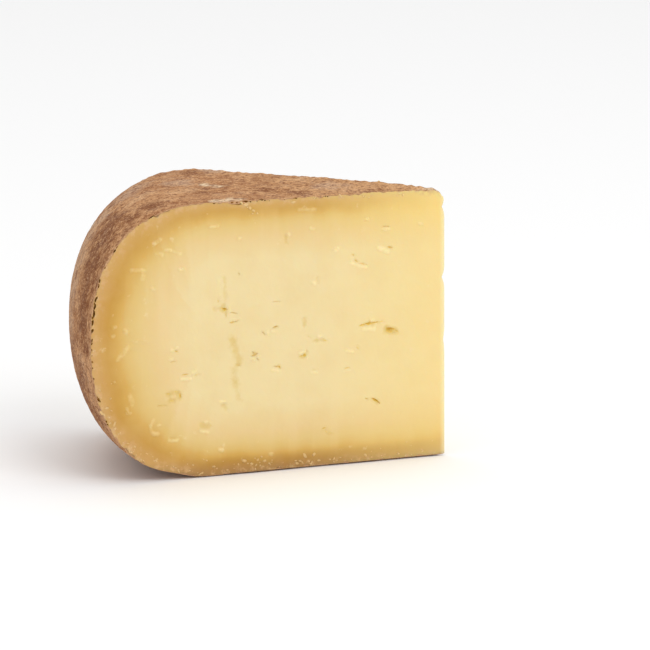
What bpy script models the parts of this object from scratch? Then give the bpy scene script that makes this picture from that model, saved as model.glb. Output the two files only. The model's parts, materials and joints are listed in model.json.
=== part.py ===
"""A wedge of aged farmhouse gouda, a bit under an eighth of a 30 cm wheel, standing on its base.

The wedge is one solid. Half of the wheel's section is laid out as a grid, from the wheel's axis to
its rind, and spun about the axis by the angle of the cut. The solid then gets the relief of the real
thing: a swollen, crinkled rind, the slow waves that the cheese wire leaves, a worn tip, a torn nick
in the top edge, and the eyes and slits that the cut opened. The base stays flat.

Metres, +Z up. The origin is under the middle of the wedge, on the surface that it stands on. The tip
points to +X, the rind to -X, and the two cut faces look to -Y (the front) and +Y (the back).
"""

import math
import random
from collections import namedtuple

import bmesh
import bpy
from mathutils import Matrix, Vector, noise

# The wheel that the wedge was cut from.
WHEEL_RADIUS = 0.150
WHEEL_HEIGHT = 0.110
GIRTH_HEIGHT = 0.057  # the height at which the wheel is widest
BASE_RADIUS = 0.096  # the flat that the wheel lies on
TOP_RADIUS = 0.102  # where the top begins to turn down
BASE_FULLNESS = 2.5  # exponents of the two shoulders: 2 is an ellipse, more is squarer
TOP_FULLNESS = 2.37
TOP_DISH = 0.0015  # how far the middle of the top has sunk
BASE_SETTLE = 0.0006  # how far the cheese's own weight has pressed the rounded base flat
HEEL, HEEL_START, HEEL_LENGTH = 0.0008, 0.106, 0.038  # the crisper turn that this leaves round the flat

# The cut.
WEDGE_ANGLE = math.radians(41.4)

# Mesh density: quads from the axis to the rind, from base to top, and round the wedge.
CELLS_OUT = 32
CELLS_UP = 28
CELLS_ROUND = 22

# Relief: height of the waves and the distance over which they repeat.
RIND_SWELL, RIND_SWELL_SIZE = 0.0009, 0.038
RIND_CRINKLE, RIND_CRINKLE_SIZE = 0.0005, 0.009
EVEN_HEIGHT = 0.012  # the rind's relief grows from nothing at the base to its full height here
WIRE_WAVE, WIRE_WAVE_SIZE = 0.0005, 0.030

# The top rolls up and then down from this distance out, over this length. The roll grows from
# nothing at the front face to its full height at the back.
TOP_ROLL, ROLL_START, ROLL_LENGTH = 0.0009, 0.033, 0.096

# Wear of the tip, the edge where the two cut faces meet.
TIP_REACH = 0.006  # how far from the edge the wear is felt
TIP_WEAR = 0.0006
TIP_NICKS = ((0.072, 0.0010), (0.101, 0.0009))  # height and depth of two chips in the edge
NICK_HALF_HEIGHT = 0.004
TIP_DROOP, DROOP_REACH = 0.0014, 0.022  # how far the top sinks towards the tip
CORNER_DROOP = 0.0010  # and its corner beyond that
DROOP_FADE = 12  # power of the height at which the droop fades out below the top

# Eyes and slits of a cut face: distance out from the tip's edge, height above the base, length,
# width, depth, and the slope of the long side in degrees.
Eye = namedtuple("Eye", "out up length width depth slope")
FRONT_EYES = (
    Eye(0.0945, 0.0672, 0.0050, 0.0032, 0.0030, 12),
    Eye(0.0901, 0.0612, 0.0046, 0.0014, 0.0020, -6),
    Eye(0.0746, 0.0567, 0.0038, 0.0016, 0.0025, 8),
    Eye(0.0818, 0.0470, 0.0036, 0.0028, 0.0025, 0),
    Eye(0.0722, 0.0420, 0.0038, 0.0016, 0.0025, -14),
    Eye(0.0607, 0.0447, 0.0036, 0.0026, 0.0028, 20),
    Eye(0.0543, 0.0512, 0.0086, 0.0028, 0.0030, 4),
    Eye(0.0399, 0.0466, 0.0058, 0.0024, 0.0022, -8),
    Eye(0.0424, 0.0388, 0.0030, 0.0012, 0.0020, 6),
    Eye(0.0314, 0.0557, 0.0090, 0.0020, 0.0035, 4),
    Eye(0.0237, 0.0525, 0.0062, 0.0034, 0.0040, -16),
    Eye(0.0315, 0.0248, 0.0060, 0.0024, 0.0030, -18),
    Eye(0.0511, 0.0139, 0.0060, 0.0018, 0.0020, -24),
    Eye(0.0368, 0.0825, 0.0058, 0.0018, 0.0020, -32),
    Eye(0.0258, 0.0863, 0.0060, 0.0030, 0.0014, 16),
    Eye(0.1087, 0.0415, 0.0086, 0.0020, 0.0022, 6),
    Eye(0.1154, 0.0336, 0.0066, 0.0040, 0.0014, 4),
    Eye(0.1022, 0.0208, 0.0060, 0.0036, 0.0014, -6),
)
BACK_EYE_COUNT = 14
BACK_EYE_SEED = 12
EYE_SPACING = 0.013  # least distance between the middles of two eyes
EYE_MARGIN = 0.017  # clear band under the rind, where the paste is too dry for eyes
EYE_UNEVENNESS = 0.22

EDGE_NICK = Eye(0.0865, 0.1088, 0.0062, 0.0036, 0.0018, -12)  # torn out of the front's top edge

PASTE_COLOUR = (0.86, 0.68, 0.36, 1.0)
PASTE_ROUGHNESS = 0.48

TOLERANCE = 1e-6


def shoulder(turn, fullness):
    """Cosine and sine of a superellipse at this part of its quarter turn, 0 to 1."""
    angle = turn * math.pi / 2
    return math.cos(angle) ** (2 / fullness), math.sin(angle) ** (2 / fullness)


def heel(radius):
    """Rise of the underside just beyond the flat, and its fall after that."""
    along = (radius - HEEL_START) / HEEL_LENGTH
    return HEEL * math.sin(math.tau * along) if 0 < along < 1 else 0.0


def rim_point(up):
    """Distance from the axis and height of the rind, from the base (0) to the top (1)."""
    if up < 0.5:
        out, down = shoulder(1 - 2 * up, BASE_FULLNESS)
        radius = BASE_RADIUS + (WHEEL_RADIUS - BASE_RADIUS) * out
        height = GIRTH_HEIGHT * (1 - down) - BASE_SETTLE * down + heel(radius)
        return radius, max(0.0, height)
    out, rise = shoulder(2 * up - 1, TOP_FULLNESS)
    radius = TOP_RADIUS + (WHEEL_RADIUS - TOP_RADIUS) * out
    return radius, GIRTH_HEIGHT + (WHEEL_HEIGHT - GIRTH_HEIGHT) * rise


def section_point(across, up):
    """A point of the half section, across it from the axis (0) to the rind (1)."""
    radius, height = rim_point(up)
    out = radius * across
    level = WHEEL_HEIGHT * up * (1 - across) + height * across
    sunk = TOP_DISH * up * max(0.0, 1 - (out / TOP_RADIUS) ** 2)
    return Vector((-out, 0.0, level - sunk))


def wedge_body():
    """The half section, spun about the axis into a closed wedge with its axis on Z."""
    bm = bmesh.new()
    grid = bmesh.ops.create_grid(bm, x_segments=CELLS_OUT, y_segments=CELLS_UP, size=0.5)
    for vert in grid["verts"]:
        vert.co = section_point(0.5 - vert.co.x, vert.co.y + 0.5)
    bmesh.ops.rotate(bm, verts=bm.verts, matrix=Matrix.Rotation(WEDGE_ANGLE / 2, 3, "Z"))
    bmesh.ops.spin(
        bm,
        geom=bm.verts[:] + bm.edges[:] + bm.faces[:],
        axis=(0, 0, 1),
        cent=(0, 0, 0),
        angle=-WEDGE_ANGLE,
        steps=CELLS_ROUND,
    )
    bmesh.ops.remove_doubles(bm, verts=bm.verts, dist=TOLERANCE)
    bmesh.ops.recalc_face_normals(bm, faces=bm.faces)
    return bm


def wave(place, size, seed):
    """Smooth noise between about -1 and 1 that repeats roughly every size metres."""
    return noise.noise(place / size + Vector((seed, seed, seed)))


def on_cut_face(place):
    """True on either cut face, the edge of the rind included."""
    turn = math.atan2(place.y, -place.x)
    return abs(abs(turn) - WEDGE_ANGLE / 2) < 1e-3 or place.xy.length < TOLERANCE


def rind_relief(place):
    crinkle = abs(wave(place, RIND_CRINKLE_SIZE, 5.0))
    relief = RIND_SWELL * wave(place, RIND_SWELL_SIZE, 1.0) - RIND_CRINKLE * crinkle
    return relief * min(1.0, place.z / EVEN_HEIGHT)


def top_roll(place):
    """Rise of the wheel's top at this place: one crest and one trough along the roll."""
    along = (place.xy.length - ROLL_START) / ROLL_LENGTH
    if not 0 < along < 1:
        return 0.0
    towards_back = math.atan2(place.y, -place.x) / WEDGE_ANGLE + 0.5
    lift = max(0.0, place.z - GIRTH_HEIGHT) / (WHEEL_HEIGHT - GIRTH_HEIGHT)
    return TOP_ROLL * towards_back * lift * math.sin(math.tau * along)


def cut_relief(place):
    flat = Vector((place.x, place.y, place.z * 0.4))  # the wire's waves run up the face
    return WIRE_WAVE * wave(flat, WIRE_WAVE_SIZE, 9.0)


def add_relief(bm):
    """Swells the rind, rolls the top and ripples the cut faces, and keeps the base flat."""
    bm.normal_update()
    shifts = {}
    for vert in bm.verts:
        relief = cut_relief(vert.co) if on_cut_face(vert.co) else rind_relief(vert.co)
        shift = vert.normal * relief
        shift.z += top_roll(vert.co)
        if vert.co.z < TOLERANCE:
            shift.z = 0.0
        shifts[vert] = shift
    for vert, shift in shifts.items():
        vert.co += shift


def tip_wear(height):
    """How far the tip's edge is worn back at this height."""
    wear = TIP_WEAR * (1 + wave(Vector((0, 0, height)), 0.011, 3.0))
    for nick_height, depth in TIP_NICKS:
        wear += depth * max(0.0, 1 - abs(height - nick_height) / NICK_HALF_HEIGHT)
    return wear


def wear_tip(bm):
    """Draws the edge between the cut faces back and lowers the top towards it."""
    for vert in bm.verts:
        out = vert.co.xy.length
        close = max(0.0, 1 - out / TIP_REACH)
        nearby = max(0.0, 1 - out / DROOP_REACH)
        droop = TIP_DROOP * nearby**1.5 + CORNER_DROOP * close**2
        vert.co.x -= close * tip_wear(vert.co.z)
        vert.co.z -= droop * max(0.0, vert.co.z / WHEEL_HEIGHT) ** DROOP_FADE


def face_matrix(side):
    """Frame of a cut face: X runs from the tip out to the rind, Y into the cheese, Z up."""
    turn = WEDGE_ANGLE / 2
    out = Vector((-math.cos(turn), side * math.sin(turn), 0.0))
    inward = Vector((-math.sin(turn), -side * math.cos(turn), 0.0))
    up = Vector((0.0, 0.0, 1.0))
    return Matrix((out, inward, up)).transposed().to_4x4()


def add_eye(bm, eye, side, seed):
    """A lumpy, pointed lens that takes one eye or slit out of a cut face."""
    ball = bmesh.ops.create_icosphere(bm, subdivisions=2, radius=1.0)["verts"]
    for vert in ball:
        swell = 1 + EYE_UNEVENNESS * wave(vert.co, 0.9, seed)
        taper = 1 - 0.45 * abs(vert.co.x) ** 3
        vert.co = Vector((vert.co.x, vert.co.y * swell, vert.co.z * swell * taper))
    size = Matrix.Diagonal((eye.length / 2, eye.depth, eye.width / 2, 1.0))
    tilt = Matrix.Rotation(math.radians(eye.slope), 4, "Y")
    place = Matrix.Translation(Vector((eye.out, 0.0, eye.up)))
    bmesh.ops.transform(bm, verts=ball, matrix=face_matrix(side) @ place @ tilt @ size)


def is_clear(spot, taken):
    return all(math.dist(spot, (eye.out, eye.up)) > EYE_SPACING for eye in taken)


def back_eyes():
    """Eyes scattered over the back face, off the rind and the tip and apart from each other."""
    draw = random.Random(BACK_EYE_SEED)
    eyes = []
    while len(eyes) < BACK_EYE_COUNT:
        out = draw.uniform(EYE_MARGIN, BASE_RADIUS + 0.02)
        up = draw.uniform(EYE_MARGIN, WHEEL_HEIGHT - EYE_MARGIN)
        length = draw.uniform(0.0032, 0.0085)
        width = length * draw.uniform(0.25, 0.6)
        if is_clear((out, up), eyes):
            eyes.append(Eye(out, up, length, width, width * 0.9, draw.uniform(-25, 20)))
    return eyes


def eye_cutter():
    """All the eyes as one hidden object, for the wedge's Boolean."""
    bm = bmesh.new()
    for number, eye in enumerate(FRONT_EYES + (EDGE_NICK,)):
        add_eye(bm, eye, -1, 1.7 * number)
    for number, eye in enumerate(back_eyes()):
        add_eye(bm, eye, 1, 40 + 1.7 * number)
    bmesh.ops.recalc_face_normals(bm, faces=bm.faces)
    return bm


def new_object(name, bm):
    """Centres a mesh over the origin, along the wedge's length, and links it as an object."""
    bmesh.ops.translate(bm, verts=bm.verts, vec=(WHEEL_RADIUS / 2, 0.0, 0.0))
    mesh = bpy.data.meshes.new(name)
    bm.to_mesh(mesh)
    bm.free()
    obj = bpy.data.objects.new(name, mesh)
    bpy.context.scene.collection.objects.link(obj)
    return obj


def paste_material():
    material = bpy.data.materials.new("paste")
    material.use_nodes = True
    shader = material.node_tree.nodes["Principled BSDF"]
    shader.inputs["Base Color"].default_value = PASTE_COLOUR
    shader.inputs["Roughness"].default_value = PASTE_ROUGHNESS
    shader.inputs["Metallic"].default_value = 0.0
    return material


def build():
    for obj in list(bpy.data.objects):
        bpy.data.objects.remove(obj, do_unlink=True)

    bm = wedge_body()
    add_relief(bm)
    wear_tip(bm)
    wedge = new_object("cheese_wedge", bm)
    wedge.data.materials.append(paste_material())

    cutter = new_object("eye_cutter", eye_cutter())
    cutter.hide_render = True
    cutter.display_type = "WIRE"
    opened = wedge.modifiers.new("eyes", "BOOLEAN")
    opened.operation = "DIFFERENCE"
    opened.solver = "EXACT"
    opened.object = cutter

    wedge.data.shade_smooth()
    wedge.data.set_sharp_from_angle(angle=math.radians(35))


build()
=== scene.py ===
"""A wedge of aged farmhouse gouda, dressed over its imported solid.

The paste is half of the wheel's section, spun about the wheel's axis and closed with two gridded
cut faces. The rind is a thin skin over it with its own rough outside. Eyes and slits are cut into
both cut faces, dents and drag marks are pressed into them, and flakes and crumbs sit on them.

Metres, +Z up. The tip points to +X, the rind to -X, and the front cut face looks to -Y.
"""

import json
import math
import random
from collections import namedtuple

import bmesh
import bpy
from mathutils import Matrix, Vector, noise
from mathutils.kdtree import KDTree

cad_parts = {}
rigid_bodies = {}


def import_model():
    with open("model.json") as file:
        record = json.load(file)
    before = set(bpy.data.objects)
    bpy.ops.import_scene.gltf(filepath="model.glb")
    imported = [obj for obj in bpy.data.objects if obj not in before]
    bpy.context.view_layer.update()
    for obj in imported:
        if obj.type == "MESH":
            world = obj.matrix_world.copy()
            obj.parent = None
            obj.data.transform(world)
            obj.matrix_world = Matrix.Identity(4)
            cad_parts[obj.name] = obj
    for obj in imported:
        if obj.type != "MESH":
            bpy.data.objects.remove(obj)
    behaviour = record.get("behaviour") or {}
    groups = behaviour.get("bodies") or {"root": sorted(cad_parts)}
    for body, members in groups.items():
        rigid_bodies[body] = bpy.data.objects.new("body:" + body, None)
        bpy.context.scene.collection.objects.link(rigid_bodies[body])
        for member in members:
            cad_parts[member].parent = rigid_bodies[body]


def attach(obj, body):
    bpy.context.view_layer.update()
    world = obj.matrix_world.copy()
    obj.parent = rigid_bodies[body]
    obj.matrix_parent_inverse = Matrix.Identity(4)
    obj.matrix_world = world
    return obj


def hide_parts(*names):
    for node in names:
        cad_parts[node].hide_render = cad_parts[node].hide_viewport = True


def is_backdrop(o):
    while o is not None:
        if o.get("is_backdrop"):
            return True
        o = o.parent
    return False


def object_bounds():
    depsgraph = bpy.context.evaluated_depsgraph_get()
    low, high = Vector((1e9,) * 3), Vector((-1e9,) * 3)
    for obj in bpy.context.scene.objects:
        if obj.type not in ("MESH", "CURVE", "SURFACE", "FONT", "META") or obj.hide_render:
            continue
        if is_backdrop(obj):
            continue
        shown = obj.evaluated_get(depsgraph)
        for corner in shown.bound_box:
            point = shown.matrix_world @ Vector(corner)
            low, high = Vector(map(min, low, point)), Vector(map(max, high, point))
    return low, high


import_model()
cad_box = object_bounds()

# ---- the wheel and the cut
WHEEL_RADIUS = 0.150
WHEEL_HEIGHT = 0.110
GIRTH_HEIGHT = 0.057
BASE_RADIUS, BASE_FULLNESS = 0.096, 2.43
TOP_RADIUS, TOP_FULLNESS = 0.102, 2.37
WEDGE_ANGLE = math.radians(41.4)
HALF_ANGLE = WEDGE_ANGLE / 2
TIP = Vector((WHEEL_RADIUS / 2, 0.0, 0.0))
FRONT, BACK = -1, 1

TOP_DISH = 0.0011
BASE_SETTLE = 0.0006
HEEL, HEEL_START, HEEL_LENGTH = 0.0008, 0.106, 0.038
HEEL_SOFT, HEEL_SOFT_RUN = 0.0006, 0.010
SOFT_BELOW, FOOT_BELOW = 0.003, 0.0006  # the heel is eased, and the foot made level, below these
TOP_ROLL, ROLL_START, ROLL_LENGTH = 0.0005, 0.033, 0.096
TIP_DROOP, DROOP_REACH = 0.0014, 0.034
CORNER_DROOP, CORNER_REACH = 0.0010, 0.006
DROOP_FADE = 12  # the droops belong to the top: they fade with this power of the height
WIRE_WAVE, WIRE_WAVE_SIZE = 0.0005, 0.030
WAVE_REACH = 0.003  # the cut faces' waves die away this far into the cheese
WAVE_FADE = 0.02  # and this close to the tip
WAVE_LOW = 0.4  # heights count for this much in them, so that they are longer upwards
RIND_SWELL, RIND_SWELL_SIZE = 0.0006, 0.038
RIND_CRINKLE, RIND_CRINKLE_SIZE = 0.00016, 0.009
FRAY, FRAY_SIZE, FRAY_REACH = 0.0005, 0.0022, 0.0016
EVEN_HEIGHT = 0.012  # the swelling grows from nothing at the base to its full height here
SWELL_FADE = 0.75  # share of the way out from the middle of the wheel at which it begins
SWELL_DEPTH = 0.05  # the swelling of the paste is read this far out along the section

# ---- layers and density
PASTE_INSET = 0.00040  # the paste lies this far inside the rind's outside
RIND_INSET = 0.00022
RIND_THICKNESS = 0.0012
RIND_FOOT = 0.00003  # the rind's lowest points
RIM_RECESS, RIM_RUN = 0.00018, 0.0006  # the rind's cut rim stands this far behind the cut
RIM_DARK = 0.0009  # it is darker this close to the cut
FACE_SKIN = 0.0006  # points this close to a cut plane belong to its face
DRAG_END, DRAG_END_RUN = 0.97, 0.05  # the wire's drag marks end this far out in the section
SKIN_FOOT, SKIN_TIP = 0.012, 0.012  # the rind's relief fades out this close to the base and tip,
SKIN_TOP, SKIN_TOP_RUN, SKIN_TOP_FADE = 0.090, 0.020, 0.6  # and by this share towards the top
SKIN_RIM, SKIN_RIM_FADE = 0.0015, 0.5  # and the cut rim
SKIN_DRAW = 0.0006  # the paste's outside is drawn in under the rind
BITE, BITE_SIZE, BITE_LEVEL = 0.0016, 0.0026, -0.08  # the rim is bitten where the noise is high
RIM_SHARE = 0.988  # the paste's rim lies at least this far out in the section
SAME, NEAR = 1e-6, 1e-5  # distances that pass for none

# Cells along the base, the lower shoulder, the upper shoulder, the top and the tip's edge. Each is
# halved once more at the end.
PASTE_CELLS = (64, 46, 48, 68, 73)
PASTE_STEPS = 24
RIND_CELLS = (30, 50, 54, 56)
RIND_STEPS = 150
LINING_STEPS = 10

# ---- small features, all placed by their distance out from the tip's edge and their height
Eye = namedtuple("Eye", "out up length width depth slope")
Mark = namedtuple("Mark", "out up end_out end_up reach depth")
Pit = namedtuple("Pit", "out up length")
Flake = namedtuple("Flake", "out up length width slope")
Patch = namedtuple("Patch", "turn out up reach")


def rows_of(kind, rows):
    """Features of one kind, from rows in millimetres with slopes and turns in degrees."""
    is_angle = [field in ("slope", "turn") for field in kind._fields]
    features = []
    for row in rows:
        sizes = (n if angle else round(n / 1000, 6) for n, angle in zip(row, is_angle))
        features.append(kind(*sizes))
    return tuple(features)


FRONT_EYES = rows_of(Eye, (
    # the golden eye, its crack and the slits to its right
    (94, 66.4, 2.1, 1.2, 2.2, 12), (95.2, 66.9, 1.2, 0.6, 1.2, 30),
    (93.5, 64.7, 2.2, 0.3, 0.8, 88), (90.3, 64.9, 2.6, 0.4, 1, 11), (91, 61.1, 1.7, 0.6, 1.3, -2),
    (89.2, 61.4, 1.8, 0.3, 0.8, -12), (96.8, 70.2, 1.2, 0.4, 1, 64), (72.2, 68, 3.2, 0.3, 0.6, 2),
    (72.7, 57.8, 2.1, 0.6, 1.6, -12), (77.7, 55.8, 2.2, 0.3, 0.8, 40),
    # two small eyes and the slit between them
    (81.6, 47.3, 2.6, 0.7, 1, -22), (82.1, 48.4, 1.6, 0.4, 0.8, 50),
    (80.3, 45.6, 1.8, 0.3, 0.6, 50), (72.5, 41.9, 2.2, 0.4, 1.1, 12),
    (71.1, 41.4, 1.3, 0.6, 1.5, 48), (60.2, 45.3, 1.7, 1.3, 2, -60),
    (61.7, 44.9, 2.2, 0.8, 1.2, -7), (59.5, 47.2, 1, 0.3, 0.7, -75), (56.2, 38.9, 3, 0.3, 0.7, 5),
    (88.4, 43.7, 1.6, 0.4, 0.7, 10),
    # the shallow pocket with its dark corners, and the slits past it
    (55.9, 50.6, 1.8, 0.3, 0.8, 0), (51.8, 50.5, 2.4, 0.5, 1.3, 15),
    (58.6, 52.6, 1.6, 0.3, 0.7, 29), (38.1, 46.4, 2.2, 0.4, 1.1, 44), (43, 46.8, 1.2, 0.3, 0.7, 0),
    (42.4, 38.5, 2.2, 0.5, 1.3, -7),
    # the long split and the leaf-shaped eye
    (35.7, 55.2, 3.4, 0.8, 1.8, -6), (33.1, 55.6, 3.6, 1, 2.2, -4),
    (30.3, 55.9, 3.4, 0.7, 1.8, -6), (32.8, 56.7, 1.2, 0.4, 1, 56), (27.7, 56.2, 2.6, 0.4, 1, -6),
    (24, 52.4, 4.2, 2.1, 2.8, 12), (25.7, 53.3, 1.6, 0.8, 1.6, 25),
    (21.4, 51.6, 2.4, 0.8, 1.6, 16), (24.8, 54.3, 1, 0.4, 0.9, 80),
    # low down towards the tip
    (30.4, 24.4, 3.8, 0.9, 2.2, 34), (34.2, 25.5, 1.3, 0.4, 1, 22), (52.3, 15, 1.7, 0.6, 1.3, -14),
    (51.5, 13.4, 1.8, 0.4, 1.1, 50), (49.7, 12.7, 2, 0.4, 1, 0),
    # high up towards the tip
    (25.9, 94.7, 2.7, 0.3, 0.6, 6), (24.2, 86.1, 1.8, 0.7, 1.2, 14), (39.7, 84.1, 0.9, 0.5, 1, 40),
    (38.5, 81.6, 1.6, 0.5, 1.2, 39), (35.6, 80.2, 3, 0.4, 1, 14), (87.9, 80.5, 1, 0.4, 0.5, 60),
    # towards the rind: slits, a ring of four and a worn triangle
    (114.4, 51.4, 1.4, 0.5, 1.1, 15), (115.6, 47.3, 2.2, 0.3, 0.8, -9),
    (110.8, 41.6, 2.6, 0.5, 1.2, 5), (105.7, 41.1, 2.8, 0.4, 1.1, -27),
    (113, 33.4, 2.4, 0.9, 1.8, 78), (114.4, 35.1, 2, 0.6, 1.3, -6),
    (117.6, 34.4, 2.2, 0.6, 1.2, 12), (116.2, 31.5, 2.4, 0.6, 1.2, 15),
    (121.6, 30.2, 1.7, 0.4, 0.7, -7), (119.4, 30.1, 2.4, 0.3, 0.7, 3),
    (104.2, 21.4, 1.6, 0.4, 0.9, -46), (100.2, 20.3, 1.4, 0.5, 0.9, 30),
    (94.6, 28.4, 1.2, 0.4, 0.8, 5), (116, 16.7, 2.2, 0.3, 0.6, 5),
))
# Soft dents and drag marks, each along a short line. A negative depth is raised.
# Their tint paints shade into the dents and a highlight onto the raised lips, over their own golden
# and paler tones.
FRONT_MARKS = rows_of(Mark, (
    # pressed in
    (94, 79, 93.8, 70, 1.6, 0.18), (98.4, 67.3, 96.5, 67, 1.4, 0.22),
    (95, 68.4, 94.2, 68.2, 1.3, 0.22), (91, 54.5, 88, 44.8, 2.8, 0.07),
    (60.4, 60, 60.4, 57.4, 1.6, 0.3), (55.2, 50.9, 52.8, 50.9, 1.4, 0.22),
    (103.6, 20.3, 101.6, 19.9, 1.9, 0.26), (116.4, 33.6, 115, 33.2, 3.4, 0.3),
    (94.5, 28, 93.6, 26.8, 1.8, 0.22), (68.1, 94, 68.1, 91.5, 1.3, 0.22),
    (54.8, 76.2, 54.8, 74, 1.1, 0.22),
    # raised
    (96.2, 79, 95.5, 71, 1.2, -0.15), (92.2, 67.8, 92, 65.6, 1.1, -0.2),
    (91.4, 62.1, 88.6, 62.5, 1, -0.18), (74.2, 56.4, 73.3, 56.2, 1, -0.3),
    (76.3, 56.3, 75.7, 55, 1, -0.25), (73.5, 67.2, 70.8, 67.2, 0.9, -0.18),
    (83.1, 46.1, 81.8, 45.7, 1, -0.35), (80.3, 47, 80, 46.4, 1, -0.35),
    (83.2, 48.8, 82.8, 49.2, 0.9, -0.25), (59.6, 44, 59.2, 44.6, 1, -0.3),
    (54.5, 52.2, 53.5, 52.4, 1, -0.25), (62.3, 46.3, 60.6, 46.7, 1, -0.35),
    (74.1, 40.6, 71.9, 40.2, 1, -0.3), (57.5, 38.2, 55, 38, 0.9, -0.2),
    (32, 57.2, 31.2, 57.2, 1, -0.3), (35.2, 54, 31.2, 53.7, 1.4, -0.35),
    (42.4, 45.8, 40.2, 45.2, 1.2, -0.3), (43.6, 37.6, 41.2, 37.8, 0.9, -0.2),
    (27.2, 93.8, 24.6, 93.6, 1, -0.38), (28.8, 86.2, 25, 84.5, 1.4, -0.4),
    (40.2, 80.8, 34.4, 79, 1.2, -0.42), (116.3, 52.1, 115.6, 51.9, 1.1, -0.32),
    (114.3, 52.7, 113.8, 52.8, 1, -0.3), (117, 48.4, 116, 48.3, 1, -0.25),
    (112.2, 40.2, 108.5, 39.9, 1.1, -0.4), (107.6, 42.4, 106.6, 42.6, 1, -0.25),
    (116.2, 33.4, 115.3, 33.3, 1.1, -0.32), (104.3, 18.4, 101.2, 17.9, 1.1, -0.3),
    (102.6, 21.9, 101.8, 22, 1, -0.3), (124, 24.8, 125.4, 22.6, 1.1, -0.3),
    (125.4, 22.2, 124.9, 20, 1.1, -0.3), (124.1, 19.1, 122.4, 19, 1.3, -0.42),
    (122.2, 22.3, 121.6, 22.3, 1, -0.3), (117.5, 16, 114.2, 15.6, 1.2, -0.28),
    (96, 29.6, 94.2, 29.5, 1, -0.32), (122.9, 95.2, 120.7, 96.7, 1.2, -0.42),
    (118.6, 92.3, 116.5, 92.1, 1, -0.35), (116.5, 92.1, 112.2, 90.3, 1, -0.2),
    (122.3, 91.2, 119.8, 90.7, 1, -0.25), (99.6, 100.1, 96.6, 100.1, 1, -0.32),
    (88, 94.6, 87.3, 94.5, 1.1, -0.32), (132.8, 85.4, 127.4, 84.9, 1.2, -0.25),
    (128, 84.6, 127.9, 81.5, 1.5, -0.25), (112.5, 84.2, 111.5, 84.1, 1, -0.42),
    (124.4, 77.4, 123.6, 77, 1.1, -0.38), (140.4, 63, 139.6, 63.3, 1, -0.4),
    (135.7, 61.7, 135, 60.6, 1.2, -0.42), (141, 59.4, 140.2, 59.7, 1, -0.35),
    (132.7, 57.1, 126.2, 56.6, 1, -0.18), (134.3, 54.6, 139, 50, 1.4, -0.3),
    (140.4, 41.4, 140, 41.1, 1, -0.45), (133.8, 35.2, 133.2, 31.8, 1.7, -0.24),
    (135.2, 30.3, 135, 28.5, 1, -0.4), (135, 28.3, 133.6, 28.1, 1, -0.3),
    (96.3, 10.3, 95.4, 10, 1.3, -0.45), (75.3, 6.6, 74.6, 6.7, 1.1, -0.4),
    (57.5, 96.3, 56.5, 96, 1.2, -0.3), (62.5, 104.1, 56, 103.9, 1.2, -0.3),
    (67.2, 95.2, 66.8, 94.4, 1.1, -0.25), (47.2, 86.8, 46.2, 87.3, 1.2, -0.4),
    (34.2, 98.3, 33.4, 98.2, 1, -0.42), (11.6, 94.8, 10.6, 94.7, 1, -0.35),
    (56.6, 74.3, 56, 74, 1.4, -0.3),
))
# Golden drags that the wire left, which are not pressed in.
FRONT_STAINS = rows_of(Mark, (
    (91.8, 54.5, 88.9, 44.8, 2.2, 0.13), (90.2, 54.5, 87.2, 44.8, 2.2, 0.13),
    (90.6, 42.4, 89.7, 36.5, 2.6, 0.17), (89.4, 37, 88, 30, 2.6, 0.14),
))
PRESS_STEP = 0.0008  # a mark is pressed in steps of this length
MARK_DEPTH = 1.3  # a mark is pressed in by this many times its depth
MARK_FINENESS = 0.0022  # faces this close to a mark are halved
FUNNEL_LENGTH = 0.3  # of the soft dent round an eye, as a share of the eye's
FUNNEL_REACH, FUNNEL_REACH_GROWTH = 0.0010, 0.8  # its reach, and how that grows with the width
FUNNEL_DEPTH, FUNNEL_DEPTH_GROWTH = 0.00006, 0.16
TONE_DEPTH = 0.00040  # a mark this deep or high takes its full tint
EYE_DEPTH = 0.54  # how much of an eye's depth is open
UNDERCUT = math.radians(38)  # eyes run in and upwards, so their lower lips catch the light
LENS_STRETCH, LENS_END, LENS_REACH = 1.35, 0.97, 0.9  # how its ends are drawn out to points
LENS_STEP = 7.3  # each lens has its lumps from another place of the noise
CLEARANCE = 0.8  # share of two eyes' lengths that they lie apart to be cut in one go

# Pits along the rind's line, from the top edge near the tip round to the outer edge.
RIM_PITS = rows_of(Pit, (
    (64.2, 109.1, 1.8), (78.5, 109.3, 2.2), (85.1, 109.3, 2), (98.1, 109.4, 1.2),
    (124.4, 105.8, 2.8), (139.6, 93.5, 1.8), (145.9, 82, 2), (146.3, 80, 1.8), (147.6, 74.7, 2.6),
    (148, 71.9, 2.8), (148.4, 68.8, 3.2), (149, 65.5, 2.8), (149.3, 62.3, 2.2), (149.4, 58.5, 1.8),
    (146.7, 34.7, 1.8), (143.7, 25.7, 1.2),
))
PIT_WIDTH, PIT_DEPTH = 0.6, 0.0005  # share of a pit's length, and metres
PIT_TURN = 1.2  # how the rind's line steepens towards the girth
PIT_SEED = 17
FRONT_STRAYS, BACK_STRAYS = (30, 0.0011), (24, 0.0022)  # how many more, and the largest
STRAY_LEAST = 0.45  # share of the largest
TOP_STRAYS, TOP_STRAY_SPAN = 0.3, (0.05, 0.1)  # share that lies along the top edge, and where
STRAY_INSET, TOP_STRAY_INSET = 0.0006, 0.0007

# Chips out of the top edge, and out of the tip's edge: height, depth and reach.
EDGE_NICKS = rows_of(Eye, (
    (86.5, 109.2, 6.2, 3, 1.8, -12), (91.5, 109.4, 3.6, 2, 1.2, 20),
))
TIP_NICKS = ((0.072, 0.0011, 0.0046), (0.101, 0.0010, 0.0044), (0.047, 0.0005, 0.0060))
TIP_WEAR, TIP_WEAR_REACH = 0.0008, 0.0026  # the sharp edge is worn back and blunt
CORNER_WEAR, CORNER_WEAR_REACH = 0.0016, 0.0050  # so is its upper end
CORNER_PULL = (-0.4 * CORNER_WEAR, 0, -CORNER_WEAR)

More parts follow.
